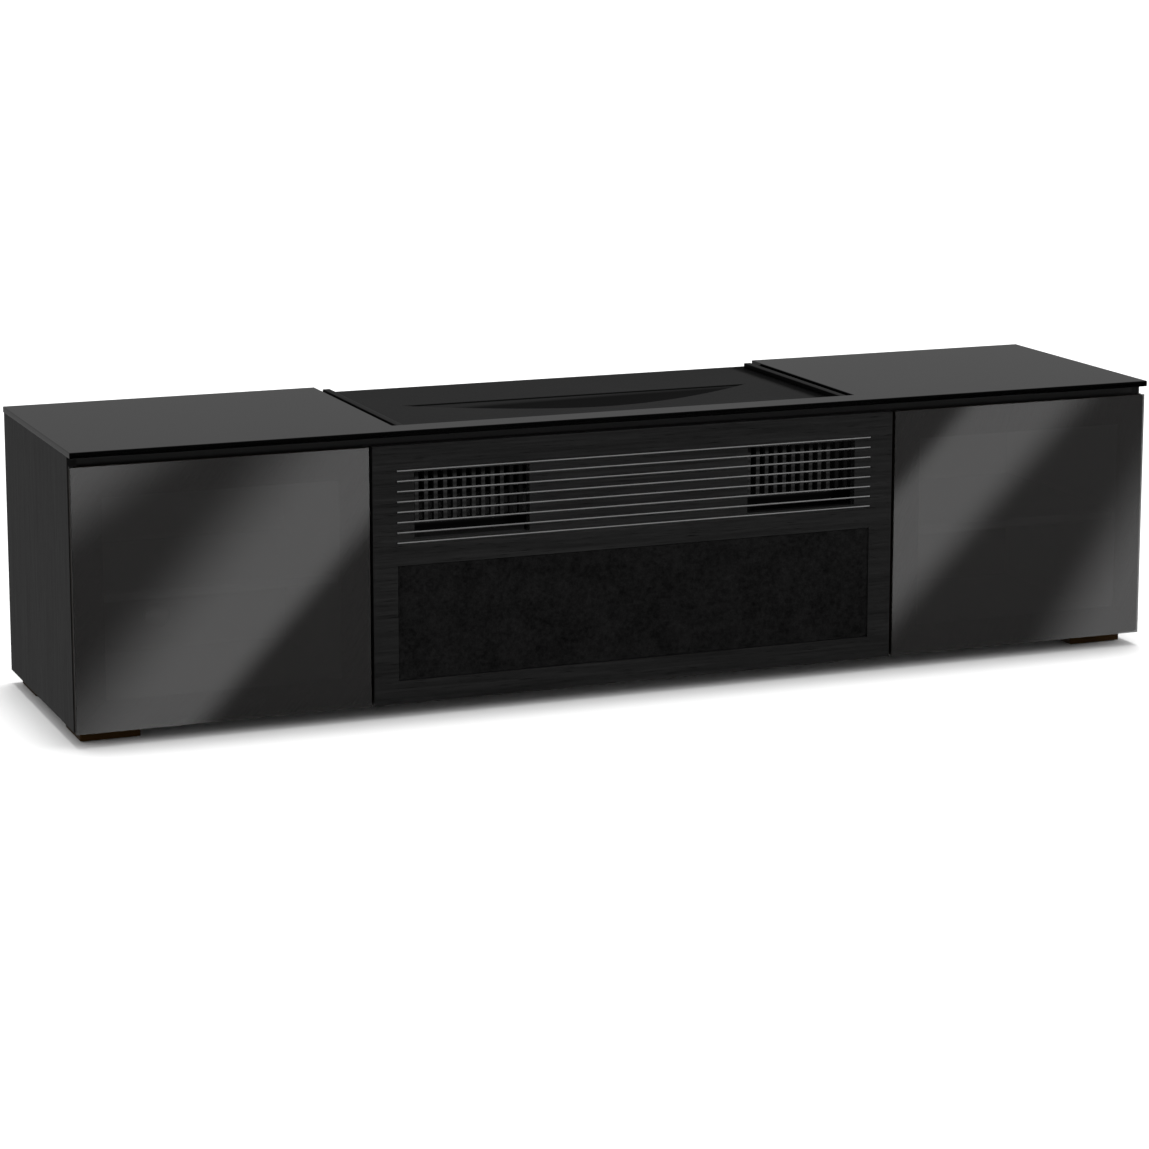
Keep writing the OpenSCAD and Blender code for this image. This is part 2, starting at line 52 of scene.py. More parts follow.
# ---------------------------------------------------------------- camera

# Where the photo was taken from, solved from the cabinet's edges at the model's scale
CAMERA_PLACE = Vector((-2.6394, -6.5506, 1.7314))
CAMERA_YAW = math.radians(21.717)
CAMERA_PITCH = math.radians(10.375)
CAMERA_LENS = 107.5
CAMERA_SHIFT_Y = -0.1


def make_camera():
    data = bpy.data.cameras.new("camera")
    data.lens = CAMERA_LENS
    data.sensor_width = 36
    data.shift_y = CAMERA_SHIFT_Y
    data.clip_end = 600
    camera = bpy.data.objects.new("camera", data)
    camera.location = CAMERA_PLACE
    camera.rotation_euler = (math.pi / 2 - CAMERA_PITCH, 0, -CAMERA_YAW)
    scene.collection.objects.link(camera)
    scene.camera = camera


# ---------------------------------------------------------------- node helpers

# Sockets of the Mix node that carry a colour
MIX_COLOUR_A, MIX_COLOUR_B, MIX_COLOUR_RESULT = 6, 7, 2


class Shader:
    """A Principled material with short calls for its nodes."""

    def __init__(self, name, **sockets):
        self.material = bpy.data.materials.new(name)
        self.material.use_nodes = True
        self.tree = self.material.node_tree
        self.bsdf = self.tree.nodes["Principled BSDF"]
        for socket, value in sockets.items():
            self.bsdf.inputs[socket.replace("_", " ")].default_value = value

    def node(self, kind, settings=None, **inputs):
        made = self.tree.nodes.new("ShaderNode" + kind)
        for key, value in (settings or {}).items():
            setattr(made, key, value)
        for key, value in inputs.items():
            self.put(made.inputs[key.replace("_", " ")], value)
        return made

    def put(self, socket, value):
        if isinstance(value, bpy.types.NodeSocket):
            self.tree.links.new(value, socket)
        else:
            socket.default_value = value

    def place(self, scale, offset=(0, 0, 0)):
        """Object coordinates, which are the row frame in metres, stretched by scale."""
        made = self.node("Mapping", Scale=scale, Location=offset)
        self.tree.links.new(self.node("TexCoord").outputs["Object"], made.inputs["Vector"])
        return made.outputs["Vector"]

    def along(self, axis):
        """How far a point is along X, Y or Z of the row frame."""
        return self.node("SeparateXYZ", Vector=self.place((1, 1, 1))).outputs[axis]

    def noise(self, where, detail=2.0, roughness=0.5, distortion=0.0):
        made = self.node("TexNoise", Vector=where, Scale=1.0, Detail=detail,
                         Roughness=roughness, Distortion=distortion)
        return made.outputs["Fac"]

    def span(self, value, low, high, to_low=0.0, to_high=1.0):
        """value from low..high to to_low..to_high, clamped."""
        made = self.node("MapRange", {"clamp": True})
        for socket, number in zip(made.inputs, (value, low, high, to_low, to_high)):
            self.put(socket, number)
        return made.outputs["Result"]

    def math(self, operation, a, b=0.0):
        made = self.node("Math", {"operation": operation})
        self.put(made.inputs[0], a)
        self.put(made.inputs[1], b)
        return made.outputs["Value"]

    def mix(self, factor, a, b):
        made = self.node("Mix", {"data_type": "RGBA"})
        self.put(made.inputs["Factor"], factor)
        self.put(made.inputs[MIX_COLOUR_A], a)
        self.put(made.inputs[MIX_COLOUR_B], b)
        return made.outputs[MIX_COLOUR_RESULT]

    def colour(self, value):
        self.put(self.bsdf.inputs["Base Color"], value)

    def roughness(self, value):
        self.put(self.bsdf.inputs["Roughness"], value)

    def bump(self, height, depth, strength):
        made = self.node("Bump", Height=height, Distance=depth, Strength=strength)
        self.put(self.bsdf.inputs["Normal"], made.outputs["Normal"])


def grey(level, warm=0.0):
    """A dark neutral colour, level in linear light; warm tints it towards brown."""
    return (level * (1 + warm), level, level * (1 - 0.7 * warm), 1)


# ---------------------------------------------------------------- materials


def veneer(name, along, dark, light, seed, warm=0.0, sheen_roughness=0.42, specular=0.3):
    """Open-pored stained veneer with its grain along one axis."""
    s = Shader(name, Specular_IOR_Level=specular)

    def stretched(across, lengthwise, shift):
        scale = [across] * 3
        scale["XYZ".index(along)] = lengthwise
        return s.place(tuple(scale), (seed + shift, seed * 0.7, seed * 1.3 + shift))

    drift = s.noise(stretched(9, 1.1, 0), detail=3, roughness=0.55, distortion=0.4)
    fibre = s.noise(stretched(230, 6, 4), detail=4, roughness=0.68, distortion=0.15)
    streak = s.noise(stretched(80, 1.8, 9), detail=3, roughness=0.6, distortion=0.3)
    pores = s.span(s.noise(stretched(620, 22, 2), detail=1.5, roughness=0.5), 0.6, 0.7)
    tone = s.math("ADD", s.math("MULTIPLY", s.span(fibre, 0.3, 0.7), 0.62),
                  s.math("MULTIPLY", s.span(streak, 0.3, 0.7), 0.26))
    tone = s.math("ADD", tone, s.math("MULTIPLY", s.span(drift, 0.3, 0.7), 0.12))
    wood = s.mix(tone, grey(dark, warm), grey(light, warm))
    s.colour(s.mix(pores, wood, grey(dark * 0.35, warm)))
    s.roughness(s.span(tone, 0, 1, sheen_roughness - 0.06, sheen_roughness + 0.1))
    height = s.math("SUBTRACT", s.math("MULTIPLY", fibre, 0.5), pores)
    s.bump(height, 0.00025, 0.55)
    return s.material


def back_painted_glass():
    """Glass painted black on its underside: a mirror-smooth black face with faint wiping marks."""
    s = Shader("black_glass", Specular_IOR_Level=0.5, IOR=1.5)
    haze = s.noise(s.place((3, 5, 3)), detail=4, roughness=0.6, distortion=0.6)
    wipe = s.noise(s.place((2, 26, 6), (3, 1, 0)), detail=3, roughness=0.5, distortion=1.2)
    s.colour(s.mix(haze, grey(0.0005), grey(0.0009)))
    s.roughness(s.span(s.math("MULTIPLY", haze, wipe), 0.1, 0.45, 0.035, 0.075))
    return s.material


def smoked_glass():
    """Dark see-through door glass."""
    s = Shader("smoked_glass", Specular_IOR_Level=0.5, IOR=1.5, Alpha=0.72)
    haze = s.noise(s.place((4, 4, 3), (7, 0, 2)), detail=4, roughness=0.55, distortion=0.5)
    s.colour(s.mix(haze, grey(0.0045, 0.1), grey(0.0062, 0.1)))
    s.roughness(s.span(haze, 0.3, 0.7, 0.02, 0.05))
    return s.material


def lacquer(name, level, rough, seed, orange_peel=0.00006, specular=0.4, edge=None):
    """Sprayed satin lacquer on board, with a fine orange-peel.

    Where edge is given, upright faces are edge times as light as the rest: painted shade on the
    sides.
    """
    s = Shader(name, Specular_IOR_Level=specular)
    cloud = s.noise(s.place((5, 5, 5), (seed, 0, seed)), detail=4, roughness=0.6)
    peel = s.noise(s.place((260, 260, 260), (0, seed, 0)), detail=2, roughness=0.5)
    face = s.mix(cloud, grey(level * 0.85), grey(level * 1.15))
    if edge is not None:
        # painted shade: upright faces are darker than the faces that look up
        facing = s.node("SeparateXYZ", Vector=s.node("TexCoord").outputs["Normal"]).outputs["Z"]
        face = s.mix(s.span(facing, 0.3, 0.8), grey(level * edge), face)
    s.colour(face)
    sheen = s.math("ADD", s.math("MULTIPLY", cloud, 0.6), s.math("MULTIPLY", peel, 0.4))
    s.roughness(s.span(sheen, 0.3, 0.7, rough - 0.05, rough + 0.07))
    s.bump(peel, orange_peel, 0.6)
    return s.material


def reveal_lacquer():
    """Front rail under the glass: lacquer above the top of the fronts, and painted shade, near
    black, below it where the fronts close against it.
    """
    s = Shader("reveal_lacquer", Specular_IOR_Level=0.25, Roughness=0.5)
    cloud = s.noise(s.place((5, 40, 40), (5, 0, 5)), detail=4, roughness=0.6)
    peel = s.noise(s.place((260, 260, 260), (0, 5, 0)), detail=2, roughness=0.5)
    fronts_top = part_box("flap_panel")[1].z
    # painted shade: near black below the top of the fronts, with a 4 mm soft edge
    above_painted_shade = s.span(s.along("Z"), fronts_top, fronts_top + 0.004)
    face = s.mix(cloud, grey(0.0145), grey(0.0175))
    s.colour(s.mix(above_painted_shade, grey(0.001), face))
    s.bump(peel, 0.00006, 0.6)
    return s.material


def dark_board():
    """Black laminate: nearly black inside the cabinet, a duller grey on the outside of its back."""
    s = Shader("dark_board", Specular_IOR_Level=0.25)
    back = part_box("back_panel_centre")[1].y
    cloud = s.noise(s.place((5, 5, 5), (14, 0, 14)), detail=4, roughness=0.6)
    scuff = s.noise(s.place((3, 3, 40), (1, 2, 3)), detail=5, roughness=0.7, distortion=0.5)
    pebble = s.noise(s.place((700, 700, 700), (0, 14, 0)), detail=2, roughness=0.6)
    inside = s.mix(cloud, grey(0.0078), grey(0.0105))
    outside = s.mix(s.span(scuff, 0.3, 0.7), grey(0.0175), grey(0.0235))
    s.colour(s.mix(s.span(s.along("Y"), back - 0.0015, back - 0.001), inside, outside))
    s.roughness(s.span(scuff, 0.3, 0.7, 0.58, 0.72))
    s.bump(pebble, 0.00018, 0.6)
    return s.material


def shelf_lacquer():
    """Shelf in black lacquer whose front edge is a pale grey band: a painted highlight standing in
    for light on that edge.
    """
    s = Shader("shelf_lacquer", Specular_IOR_Level=0.25, Roughness=0.5)
    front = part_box("shelf_left")[0].y
    cloud = s.noise(s.place((5, 5, 5), (17, 0, 17)), detail=4, roughness=0.6)
    brushed = s.noise(s.place((14, 900, 900), (3, 0, 0)), detail=3, roughness=0.6)
    board = s.mix(cloud, grey(0.012), grey(0.016))
    # painted highlight: the pale grey front edge stands in for light falling on it
    band = s.mix(brushed, grey(0.26), grey(0.36))
    s.colour(s.mix(s.span(s.along("Y"), front + 0.0008, front + 0.0012), band, board))
    s.bump(brushed, 0.00004, 0.5)
    return s.material


def moulded_plastic(name, level, rough, seed):
    """Black moulded plastic with a fine spark-eroded grain."""
    s = Shader(name, Specular_IOR_Level=0.45)
    grain = s.noise(s.place((1400, 1400, 1400), (seed, 0, 0)), detail=2, roughness=0.6)
    flow = s.noise(s.place((30, 30, 30), (0, seed, 0)), detail=3, roughness=0.5)
    s.colour(s.mix(flow, grey(level * 0.85), grey(level * 1.15)))
    s.roughness(s.span(grain, 0.3, 0.7, rough - 0.05, rough + 0.08))
    s.bump(grain, 0.00008, 0.6)
    return s.material


GRILLE_PITCH = 0.02064      # of the rows of holes
GRILLE_TOP_ROW = 0.01995    # from the grille's top edge down to the middle of the first row
GRILLE_CHIN = 0.04198       # from its bottom edge up to the lowest row


def grille_plastic():
    """Matt black plastic with grey upright bars; the cross bars and the chin below them get painted
    shade, darker and near black.
    """
    s = Shader("grille_plastic", Specular_IOR_Level=0.0, Roughness=0.65)
    low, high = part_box("vent_grille_left")
    grain = s.noise(s.place((1400, 1400, 1400), (6, 0, 0)), detail=2, roughness=0.6)
    height = s.along("Z")
    above = s.math("SUBTRACT", height, high.z - GRILLE_TOP_ROW)
    rows = s.math("DIVIDE", above, GRILLE_PITCH)
    in_row = s.math("FRACT", s.math("ADD", rows, 10.5))
    off_row = s.math("ABSOLUTE", s.math("SUBTRACT", in_row, 0.5))
    # painted shade on the cross bars between the rows of holes
    bar = s.span(off_row, 0.39, 0.41)
    upright = s.mix(grain, grey(0.0055), grey(0.0070))
    tone = s.mix(bar, upright, grey(0.0036))
    # painted shade: the chin below the lowest row is near black
    chin = low.z + GRILLE_CHIN
    s.colour(s.mix(s.span(height, chin - 0.006, chin), grey(0.0006), tone))
    s.bump(grain, 0.00008, 0.6)
    return s.material


# painted light: the greyer back slope of the well, next to the deck
WELL_PAINTED_LIGHT_WIDTH = 0.012     # of the well's greyer back slope at the centre line
WELL_PAINTED_LIGHT_TAPER = 0.03      # how much it narrows for each metre to the right


def well_plastic():
    """Dull black flock in the well, with painted light (greyer) on the back slope where it meets
    the deck, painted shade (darker) deeper in, and painted shade (near black) on the lip step at
    the rim.
    """
    s = Shader("well_flock", Specular_IOR_Level=0.0, Roughness=0.9)
    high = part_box("lens_well")[1]
    grain = s.noise(s.place((1400, 1400, 1400), (3, 0, 0)), detail=2, roughness=0.6)
    inward = s.math("SUBTRACT", high.y, s.along("Y"))
    # painted light on the back slope near the rim, painted shade on the flock deeper in
    edge = s.math("SUBTRACT", WELL_PAINTED_LIGHT_WIDTH, s.math("MULTIPLY", s.along("X"), WELL_PAINTED_LIGHT_TAPER))
    deep = s.span(s.math("SUBTRACT", inward, edge), -0.006, 0.008)
    flock = s.mix(grain, grey(0.0016), grey(0.0026))
    slope = s.mix(grain, grey(0.0050), grey(0.0066))
    tone = s.mix(deep, slope, flock)
    # painted shade: the lip step just inside the rim is near black
    step = s.span(s.along("Z"), high.z - 0.0026, high.z - 0.0018)
    s.colour(s.mix(step, tone, grey(0.0006)))
    s.bump(grain, 0.00008, 0.6)
    return s.material


def brushed_metal(name, level, rough, scale, metallic=1.0, warm=0.0, specular=0.5,
                  depth=0.00003):
    """Metal with fine marks drawn along the axis whose scale is small."""
    s = Shader(name, Metallic=metallic, Specular_IOR_Level=specular)
    marks = s.noise(s.place(scale), detail=3, roughness=0.6)
    tone = s.noise(s.place((12, 40, 40), (2, 0, 0)), detail=2)
    s.colour(s.mix(tone, grey(level * 0.9, warm), grey(level * 1.08, warm)))
    s.roughness(s.span(marks, 0.3, 0.7, rough - 0.06, rough + 0.1))
    s.bump(marks, depth, 0.5)
    return s.material


def rubber(name, level, rough):
    s = Shader(name, Specular_IOR_Level=0.25)
    grain = s.noise(s.place((900, 900, 900)), detail=3, roughness=0.65)
    s.colour(s.mix(grain, grey(level * 0.8), grey(level * 1.2)))
    s.roughness(s.span(grain, 0.3, 0.7, rough - 0.08, rough + 0.06))
    s.bump(grain, 0.0001, 0.7)
    return s.material


THREAD_PITCH = 0.0017       # of the speaker cloth's weave


def acoustic_cloth():
    """Open black speaker cloth: a fine plain weave of slightly uneven threads, mottled in tone."""
    s = Shader("speaker_fabric", Specular_IOR_Level=0.04, Roughness=0.95, Sheen_Weight=0.012,
               Sheen_Roughness=0.5)
    s.bsdf.inputs["Sheen Tint"].default_value = grey(0.5)
    wobble = s.noise(s.place((60, 60, 60), (1, 0, 0)), detail=3, roughness=0.6)

    def thread(axis):
        bent = s.math("ADD", s.math("MULTIPLY", s.along(axis), 2 * math.pi / THREAD_PITCH),
                      s.math("MULTIPLY", wobble, 5.0))
        return s.math("SINE", bent)

    weave = s.math("MULTIPLY", thread("X"), thread("Z"))
    mottle = s.noise(s.place((120, 120, 120), (5, 0, 2)), detail=5, roughness=0.8)
    cloud = s.noise(s.place((17, 17, 17), (0, 3, 0)), detail=3, roughness=0.65)
    tone = s.math("ADD", s.math("MULTIPLY", s.span(mottle, 0.36, 0.64), 0.7),
                  s.math("MULTIPLY", s.span(cloud, 0.32, 0.68), 0.3))
    threads = s.mix(s.span(weave, -1, 1), grey(0.0023), grey(0.0152))
    s.colour(s.mix(tone, grey(0.0008), threads))
    s.bump(s.math("ADD", s.math("MULTIPLY", weave, 0.4), s.math("MULTIPLY", mottle, 0.9)),
           0.0006, 0.8)
    return s.material


MATERIALS = {
    "black_glass": back_painted_glass(),
    "smoked_glass": smoked_glass(),
    "veneer_front": veneer("black_veneer_across", "X", 0.0036, 0.0138, 3.0, specular=0.25),
    # painted shade: this side copy of the same veneer is darker than the front copy
    "veneer_side": veneer("black_veneer_upright", "Z", 0.0028, 0.0096, 11.0, specular=0.25),
    "veneer_inside": veneer("black_veneer_inside", "X", 0.005, 0.012, 31.0),
    "top_lacquer": lacquer("black_lacquer", 0.011, 0.4, 2.0),
    "reveal_lacquer": reveal_lacquer(),
    # edge gives painted shade on the upright sides of the deck and its rails
    "deck_lacquer": lacquer("deck_lacquer", 0.0062, 0.6, 8.0, specular=0.03, edge=0.2),
    "rail_lacquer": lacquer("rail_lacquer", 0.0055, 0.5, 9.0, specular=0.05, edge=0.4),
    "dark_board": dark_board(),
    "shelf_lacquer": shelf_lacquer(),
    "well_plastic": well_plastic(),
    "grille_plastic": grille_plastic(),
    "trim_plastic": moulded_plastic("trim_plastic", 0.008, 0.45, 9.0),
    "batten": veneer("raw_batten", "Y", 0.05, 0.11, 41.0, warm=0.35, sheen_roughness=0.7),
    "frame_aluminium": brushed_metal("black_aluminium", 0.0065, 0.55, (400, 400, 9), 0.0, 0.5,
                                     specular=0.12, depth=0.000004),
    "rod_aluminium": brushed_metal("rod_aluminium", 0.85, 0.33, (8, 1600, 1600), 1.0),
    "hinge_steel": brushed_metal("hinge_steel", 0.36, 0.38, (500, 500, 20), 1.0, 0.03),
    "bright_steel": brushed_metal("bright_steel", 0.6, 0.25, (700, 700, 12), 1.0),
    "screw_black": brushed_metal("screw_black", 0.05, 0.42, (900, 900, 900), 0.9),
    "foot_wood": veneer("foot_wood", "X", 0.0075, 0.0145, 21.0, warm=1.4,
                        sheen_roughness=0.55, specular=0.08),
    "soft_rubber": rubber("soft_rubber", 0.012, 0.8),
    "nylon": rubber("nylon", 0.02, 0.45),
    "speaker_fabric": acoustic_cloth(),
    "core_frame": lacquer("cloth_frame_board", 0.008, 0.7, 19.0, orange_peel=0.0002),
}

# CAD nodes by material. A name that stands for a pair ends in *.
FINISHES = {
    "black_glass": ["glass_top"],
    "smoked_glass": ["door_glass_*"],
    "veneer_front": ["flap_panel"],
    "veneer_side": ["side_panel_*"],
    "veneer_inside": ["divider_*", "bottom_board"],
    "top_lacquer": ["top_board_*"],
    "reveal_lacquer": ["top_front_rail"],
    "deck_lacquer": ["deck_panel"],
    "rail_lacquer": ["deck_rail_*"],
    "dark_board": ["back_panel_*", "back_panel_centre", "shelf_centre"],
    "shelf_lacquer": ["shelf_*"],
    "well_plastic": ["lens_well"],
    "grille_plastic": ["vent_grille_*"],
    "trim_plastic": ["cable_grommets", "magnet_catches"],
    "batten": ["deck_bearer_*", "shelf_cleats"],
    "frame_aluminium": ["door_frame_*"],
    "rod_aluminium": ["vent_rods"],
    "hinge_steel": ["flap_hinge_fixed", "flap_hinge_moving"],
    "bright_steel": ["pivot_pins_*", "shelf_pins", "flap_hinge_pins", "door_strike_*",
                     "flap_strikes"],
    "screw_black": ["back_screws", "pivot_brackets_*"],
    "foot_wood": ["foot_front_*", "foot_rear_*", "foot_middle_*"],
    "soft_rubber": ["foot_pads", "door_buffers_*", "flap_buffers"],
    "nylon": ["pivot_washers_*"],
    "core_frame": ["speaker_frame"],
    "speaker_fabric": ["speaker_cloth"],
}

# Width of the eased edges of the boards and glass
EDGES = {
    "glass_top": 0.0012, "door_glass_*": 0.0007, "flap_panel": 0.0008, "side_panel_*": 0.0008,
    "divider_*": 0.0006, "bottom_board": 0.0006, "top_board_*": 0.0005, "top_front_rail": 0.0005,
    "deck_rail_*": 0.0012, "shelf_*": 0.0008, "shelf_centre": 0.0008, "foot_front_*": 0.002,
    "foot_rear_*": 0.002, "foot_middle_*": 0.002,
    "door_frame_*": 0.0005, "door_strike_*": 0.0004, "flap_strikes": 0.0004,
    "back_panel_*": 0.001, "back_panel_centre": 0.001, "magnet_catches": 0.0012,
    "shelf_cleats": 0.0015, "deck_bearer_*": 0.0015,
}


def each(pattern):
    if pattern.endswith("*"):
        return [pattern[:-1] + side for side in SIDES]
    return [pattern]


def finish_nodes():
    for key, patterns in FINISHES.items():
        for pattern in patterns:
            for name in each(pattern):
                mesh = nodes[name].data
                if not mesh.materials:
                    mesh.materials.append(None)
                for i in range(len(mesh.materials)):
                    mesh.materials[i] = MATERIALS[key]


def ease_edges():
    for pattern, width in EDGES.items():
        for name in each(pattern):
            weld = nodes[name].modifiers.new("weld", "WELD")
            weld.merge_threshold = 0.00002
            bevel = nodes[name].modifiers.new("eased_edges", "BEVEL")
            bevel.width = width
            bevel.segments = 2
            bevel.limit_method = "ANGLE"
            bevel.angle_limit = math.radians(40)
            bevel.use_clamp_overlap = True
            normals = nodes[name].modifiers.new("flat_faces", "WEIGHTED_NORMAL")
            normals.weight = 100


# ---------------------------------------------------------------- pieces


def grid_faces(columns, rows, start=0, flip=False):
    """Quads of a grid whose vertices run along its rows."""
    faces = []
    for j in range(rows):
        for i in range(columns):
            a = start + j * (columns + 1) + i
            quad = (a, a + 1, a + columns + 2, a + columns + 1)
            faces.append(quad[::-1] if flip else quad)
    return faces


def rim_of(columns, rows):
    """Column and row of each vertex on a grid's rim, once round."""
    return ([(i, 0) for i in range(columns)] + [(columns, j) for j in range(rows)]
            + [(i, rows) for i in range(columns, 0, -1)] + [(0, j) for j in range(rows, 0, -1)])


def new_piece(name, verts, faces, material, body, smooth_faces=True):
    """A piece in the row frame that rides on a body."""
    mesh = bpy.data.meshes.new(name)
    mesh.from_pydata(verts, [], faces)
    mesh.validate()
    mesh.polygons.foreach_set("use_smooth", [smooth_faces] * len(mesh.polygons))
    mesh.materials.append(MATERIALS[material])
    piece = bpy.data.objects.new(name, mesh)
    scene.collection.objects.link(piece)
    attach(piece, body)
    return piece


def make_cloth():
    """The cloth over its frame: a stretched face with rounded edges, turned back along it."""
    low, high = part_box("speaker_cloth")
    edge = 0.0012          # radius of the cloth over the frame's edge
    turn = 0.0095          # how far the cloth runs back along the frame
    sag = 0.0003           # between the frame's bars
    nap = 0.00008          # unevenness of the face
    nap_pitch = 1 / 14     # of its hollows
    inset = 0.0001         # of the face behind the front of the CAD cloth
    bar_reach = 0.02       # how far from a bar the bar holds the cloth out
    columns, rows = 130, 36
    edge_rings, turn_rings = 4, 3
    half_x, half_z = (high.x - low.x) / 2, (high.z - low.z) / 2
    mid_x, mid_z = (high.x + low.x) / 2, (high.z + low.z) / 2
    face_y = low.y + inset
    bar_x = half_x / 3     # of the frame's two upright bars, from the middle

    # rings outside the face: distance from the flat part's rim, and depth
    profile = []
    for i in range(1, edge_rings + 1):
        a = math.pi / 2 * i / edge_rings
        profile.append((edge * math.sin(a), edge * (1 - math.cos(a))))
    for i in range(1, turn_rings + 1):
        profile.append((edge, edge + turn * i / turn_rings))

    xs = [-(half_x - edge) + 2 * (half_x - edge) * i / columns for i in range(columns + 1)]
    zs = [-(half_z - edge) + 2 * (half_z - edge) * i / rows for i in range(rows + 1)]
    verts, index = [], {}

    def dip(x, z):
        """The cloth sinks a little between the frame's bars."""
        across = math.sin(math.pi * (1 - abs(x) / half_x)) ** 2
        off_bar = 1 - math.exp(-(((abs(x) - bar_x) / bar_reach) ** 2))
        tall = math.sin(math.pi * (z + half_z) / (2 * half_z))
        return sag * tall * (0.4 + 0.6 * across) * (0.3 + 0.7 * off_bar)

    for j, z in enumerate(zs):
        for i, x in enumerate(xs):
            index[i, j] = len(verts)
            flutter = noise.noise(Vector((x / nap_pitch, z / nap_pitch, 3.0))) * nap
            verts.append((mid_x + x, face_y + dip(x, z) + flutter + nap, mid_z + z))
    faces = grid_faces(columns, rows)

    rim = rim_of(columns, rows)
    ring = [index[key] for key in rim]
    for out, deep in profile:
        new = []
        for (i, j) in rim:
            x = xs[i] + (out if i == columns else -out if i == 0 else 0)
            z = zs[j] + (out if j == rows else -out if j == 0 else 0)
            new.append(len(verts))
            verts.append((mid_x + x, face_y + deep, mid_z + z))
        for k in range(len(ring)):
            n = (k + 1) % len(ring)
            faces.append((ring[k], new[k], new[n], ring[n]))
        ring = new
    cloth = new_piece("speaker_cloth_sheet", verts, faces, "speaker_fabric", "flap")
    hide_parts("speaker_cloth")


def make_scoop():
    """The lens well as a moulded scoop: a steep front wall, then a slope up to the back."""
    low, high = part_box("lens_well")
    power = 1.8            # of the bow's front edge, as in the CAD
    clear = 0.0003         # between the scoop and the deck's cut-out
    tip = 0.006            # left off each end, where the bow is too narrow to mould
    depth = 0.044
    skin = 0.003
    floor = 0.0005         # least height of the underside over the CAD well's
    lip = 0.0025           # step down just inside the rim
    rim_share = 0.004      # share of the way back where the lip is, at the front and the back
    wall_share = 0.09      # and where the front wall ends
    wall_rows, slope_rows = 7, 19
    columns = 120
    half_bow = (high.x - low.x) / 2
    half = half_bow - tip

    def front(x):
        return low.y + (high.y - low.y) * (abs(x) / half_bow) ** power

    def profile(s):
        """Share of the depth at s, 0 at the front rim and 1 at the back."""
        wall = min(1.0, s / wall_share)
        wall = wall * wall * (3 - 2 * wall)
        return wall * (1 - s) ** 1.25

    # rows of vertices, close together where the front wall is
    first, last = 2 * rim_share, 1 - 2 * rim_share
    steps = [0, rim_share]
    steps += [first + (wall_share - first) * k / wall_rows for k in range(1, wall_rows + 1)]
    steps += [wall_share + (last - wall_share) * k / slope_rows for k in range(1, slope_rows + 1)]
    steps += [1 - rim_share, 1.0]
    rows = len(steps) - 1
    upper, under = [], []
    for s in steps:
        for i in range(columns + 1):
            x = -half + 2 * half * i / columns
            f, b = front(x) + clear, high.y - clear
            room = (b - f) / (high.y - low.y)
            deep = lip * min(1.0, room * 9) * (0 if s in (0, 1.0) else 1)
            z = high.z - deep - (depth - lip) * room ** 0.7 * profile(s)
            upper.append((x, f + (b - f) * s, z))
            under.append((x, f + (b - f) * s, max(low.z + floor, z - skin)))
    count = len(upper)
    faces = grid_faces(columns, rows) + grid_faces(columns, rows, count, flip=True)
    rim = [j * (columns + 1) + i for i, j in rim_of(columns, rows)]
    for k, a in enumerate(rim):
        b = rim[(k + 1) % len(rim)]
        faces.append((a, count + a, count + b, b))
    scoop = new_piece("lens_well_scoop", upper + under, faces, "well_plastic", "root")
    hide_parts("lens_well")
    split = scoop.modifiers.new("crease", "EDGE_SPLIT")
    split.split_angle = math.radians(50)


def make_brushes():
    """Two rows of bristles that close each cable outlet and let a cable push through."""
    low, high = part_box("cable_grommets")
    ring = 0.032           # radius of the grommet's flange
    radius = 0.0268        # of its opening
    inset = 0.006          # of the bristles behind the flange's face
    bristles, layers = 110, 3
    layer_pitch = 0.0007
    overlap = 0.0006       # of each bristle's tip past the middle
    w = 2 * radius / bristles * 1.15    # width of a bristle at its root, with a little overlap
    y_mid, z_mid = high.y - inset, (low.z + high.z) / 2
    for side, x in (("left", low.x + ring), ("right", high.x - ring)):
        verts, faces = [], []
        for layer in range(layers):
            for k in range(bristles):
                bx = -radius + 2 * radius * (k + 0.5) / bristles
                reach = math.sqrt(max(0.0, radius * radius - bx * bx))
                for sign in (-1, 1):
                    lean = noise.noise(Vector((k * 0.9, layer * 7.3, sign * 2.1)))
                    tip = 0.0004 * noise.noise(Vector((k * 1.7, 3.1, layer + sign)))
                    y = y_mid + layer * layer_pitch + lean * 0.0004
                    start = len(verts)
                    for dx, dy in ((-w / 2, 0), (0, w / 2), (w / 2, 0), (0, -w / 2)):
                        verts.append((x + bx + dx, y + dy, z_mid + sign * reach))
                    for dx, dy in ((-w / 4, 0), (0, w / 4), (w / 4, 0), (0, -w / 4)):
                        verts.append((x + bx + dx + lean * 0.0012, y + dy + lean * 0.0015,
                                      z_mid - sign * overlap + tip))
                    for n in range(4):
                        m = (n + 1) % 4
                        faces.append((start + n, start + m, start + 4 + m, start + 4 + n))
                    faces.append((start + 7, start + 6, start + 5, start + 4))
                    faces.append((start, start + 3, start + 2, start + 1))
        new_piece("cable_brush_" + side, verts, faces, "trim_plastic", "root",
                  smooth_faces=False)


# ---------------------------------------------------------------- stage


